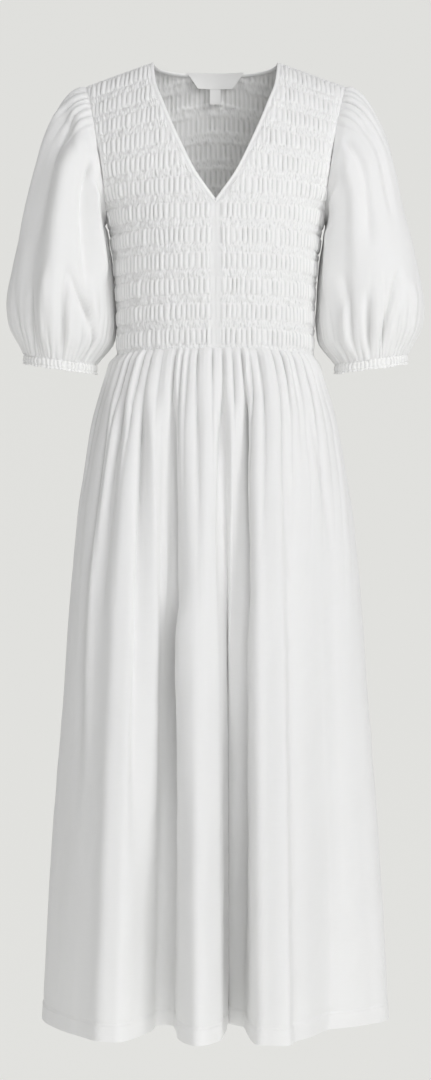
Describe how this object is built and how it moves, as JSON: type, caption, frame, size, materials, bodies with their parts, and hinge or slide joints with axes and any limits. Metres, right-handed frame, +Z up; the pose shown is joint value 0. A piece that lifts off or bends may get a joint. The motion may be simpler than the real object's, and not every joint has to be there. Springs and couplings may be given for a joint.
{
  "type": "smocked midi dress",
  "caption": "White cotton midi dress with a smocked V-neck bodice, elbow-length puff sleeves on elastic cuffs and a full gathered skirt.",
  "frame": {"origin": "Midway between the shoulders of the worn dress, 14.7 mm below the highest points of its neck, where a wearer's shoulders carry it.", "axes": "+Z is up, along the length of the dress; -Y is the front; +X is the viewer's right as seen from the front."},
  "size_m": [0.5158, 0.3723, 1.1809],
  "materials": {
    "cotton": "matt white plain-weave cotton with fine slubs",
    "label": "smooth bare white woven tape with a faint sheen"
  },
  "bodies": {
    "root": {"bodice_front_left": "cotton", "bodice_front_right": "cotton", "bodice_back": "cotton", "neck_binding": "cotton", "skirt_front": "cotton", "skirt_back": "cotton", "sleeve_left": "cotton", "sleeve_right": "cotton", "cuff_left": "cotton", "cuff_right": "cotton", "label_main": "label", "label_size": "label"}
  },
  "joints": []
}
